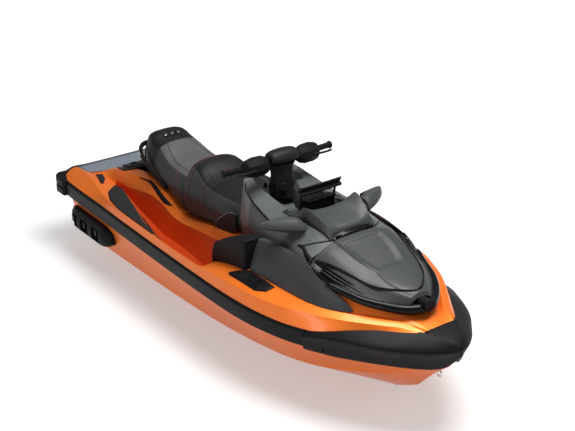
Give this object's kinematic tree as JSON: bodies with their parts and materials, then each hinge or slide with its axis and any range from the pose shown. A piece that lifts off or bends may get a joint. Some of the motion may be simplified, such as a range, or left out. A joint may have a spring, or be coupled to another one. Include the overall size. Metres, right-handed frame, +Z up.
{
  "type": "personal watercraft",
  "caption": "Sit-on personal watercraft with a two-up saddle seat, handlebar steering, front storage lid, mirrors, boarding platform and a jet pump.",
  "frame": {"origin": "on the centreline amidships, at the level the hull floats to, 210 mm above the keel", "axes": "+X to port, +Y to the stern, +Z up"},
  "size_m": [1.254, 3.447, 1.142],
  "materials": {
    "hull_gelcoat": "gloss metallic orange gel coat",
    "black_plastic": "moulded black plastic",
    "rubber_black": "matte black rubber",
    "grey_panel": "satin dark grey plastic",
    "seat_vinyl": "textured dark grey vinyl",
    "traction_mat": "grooved foam rubber mat",
    "bin_plastic": "moulded dark plastic",
    "mirror_glass": "mirror",
    "gauge_glass": "gloss black instrument",
    "steel_bar": "black powder-coated steel",
    "stainless": "stainless steel",
    "pump_alloy": "cast aluminium",
    "engine_block": "plain block"
  },
  "bodies": {
    "root": {"hull": "hull_gelcoat", "deck": "hull_gelcoat", "side_rails": "rubber_black", "bow_guard": "rubber_black", "corner_bumpers": "rubber_black", "kick_pads": "black_plastic", "side_vents": "black_plastic", "side_panels": "grey_panel", "console": "grey_panel", "hood": "grey_panel", "hood_trim": "black_plastic", "nose_badge": "black_plastic", "storage_bin": "bin_plastic", "lid_hinges": "stainless", "seat_front": "seat_vinyl", "seat_rear": "seat_vinyl", "seat_back": "black_plastic", "grab_handle": "black_plastic", "rear_hatch": "black_plastic", "rear_mat": "traction_mat", "footwell_mats": "traction_mat", "gunwale_pads": "rubber_black", "sponsons": "black_plastic", "bow_eye": "stainless", "stern_eyes": "stainless", "accessory_sockets": "black_plastic", "ride_plate": "pump_alloy", "intake_grate": "pump_alloy", "engine": "engine_block", "pump_housing": "pump_alloy"},
    "steering": {"handlebar": "steel_bar", "grips": "rubber_black", "switch_housings": "black_plastic", "levers": "black_plastic", "steering_stem": "steel_bar", "column_cover": "black_plastic", "bar_pad": "rubber_black"},
    "storage_lid": {"cowl": "grey_panel", "wind_deflector": "black_plastic", "gauge": "gauge_glass", "mirror_housings": "grey_panel", "mirror_glasses": "mirror_glass"},
    "drive": {"impeller": "stainless"},
    "trim": {"trim_ring": "pump_alloy"},
    "nozzle": {"steering_nozzle": "pump_alloy"},
    "gate": {"reverse_gate": "pump_alloy"}
  },
  "joints": [
    {"name": "steer", "type": "hinge", "parent": "root", "child": "steering", "pos_m": [0, -0.175, 0.62], "axis": [0, 0.1994, 0.9799], "range_deg": [-24, 24]},
    {"name": "lid_tilt", "type": "hinge", "parent": "root", "child": "storage_lid", "pos_m": [0, -0.832, 0.658], "axis": [1, 0, 0], "range_deg": [0, 60]},
    {"name": "pump_spin", "type": "hinge", "parent": "root", "child": "drive", "pos_m": [0, 1.385, -0.085], "axis": [0, 1, 0], "continuous": true},
    {"name": "trim_tilt", "type": "hinge", "parent": "root", "child": "trim", "pos_m": [0, 1.545, -0.085], "axis": [1, 0, 0], "range_deg": [-7, 7]},
    {"name": "nozzle_steer", "type": "hinge", "parent": "trim", "child": "nozzle", "pos_m": [0, 1.616, -0.085], "axis": [0, 0, 1], "range_deg": [-24, 24]},
    {"name": "gate_swing", "type": "hinge", "parent": "root", "child": "gate", "pos_m": [0, 1.5, -0.085], "axis": [-1, 0, 0], "range_deg": [0, 72]}
  ],
  "couplings": [
    {"joint": "nozzle_steer", "follows": "steer", "ratio": -0.9}
  ]
}
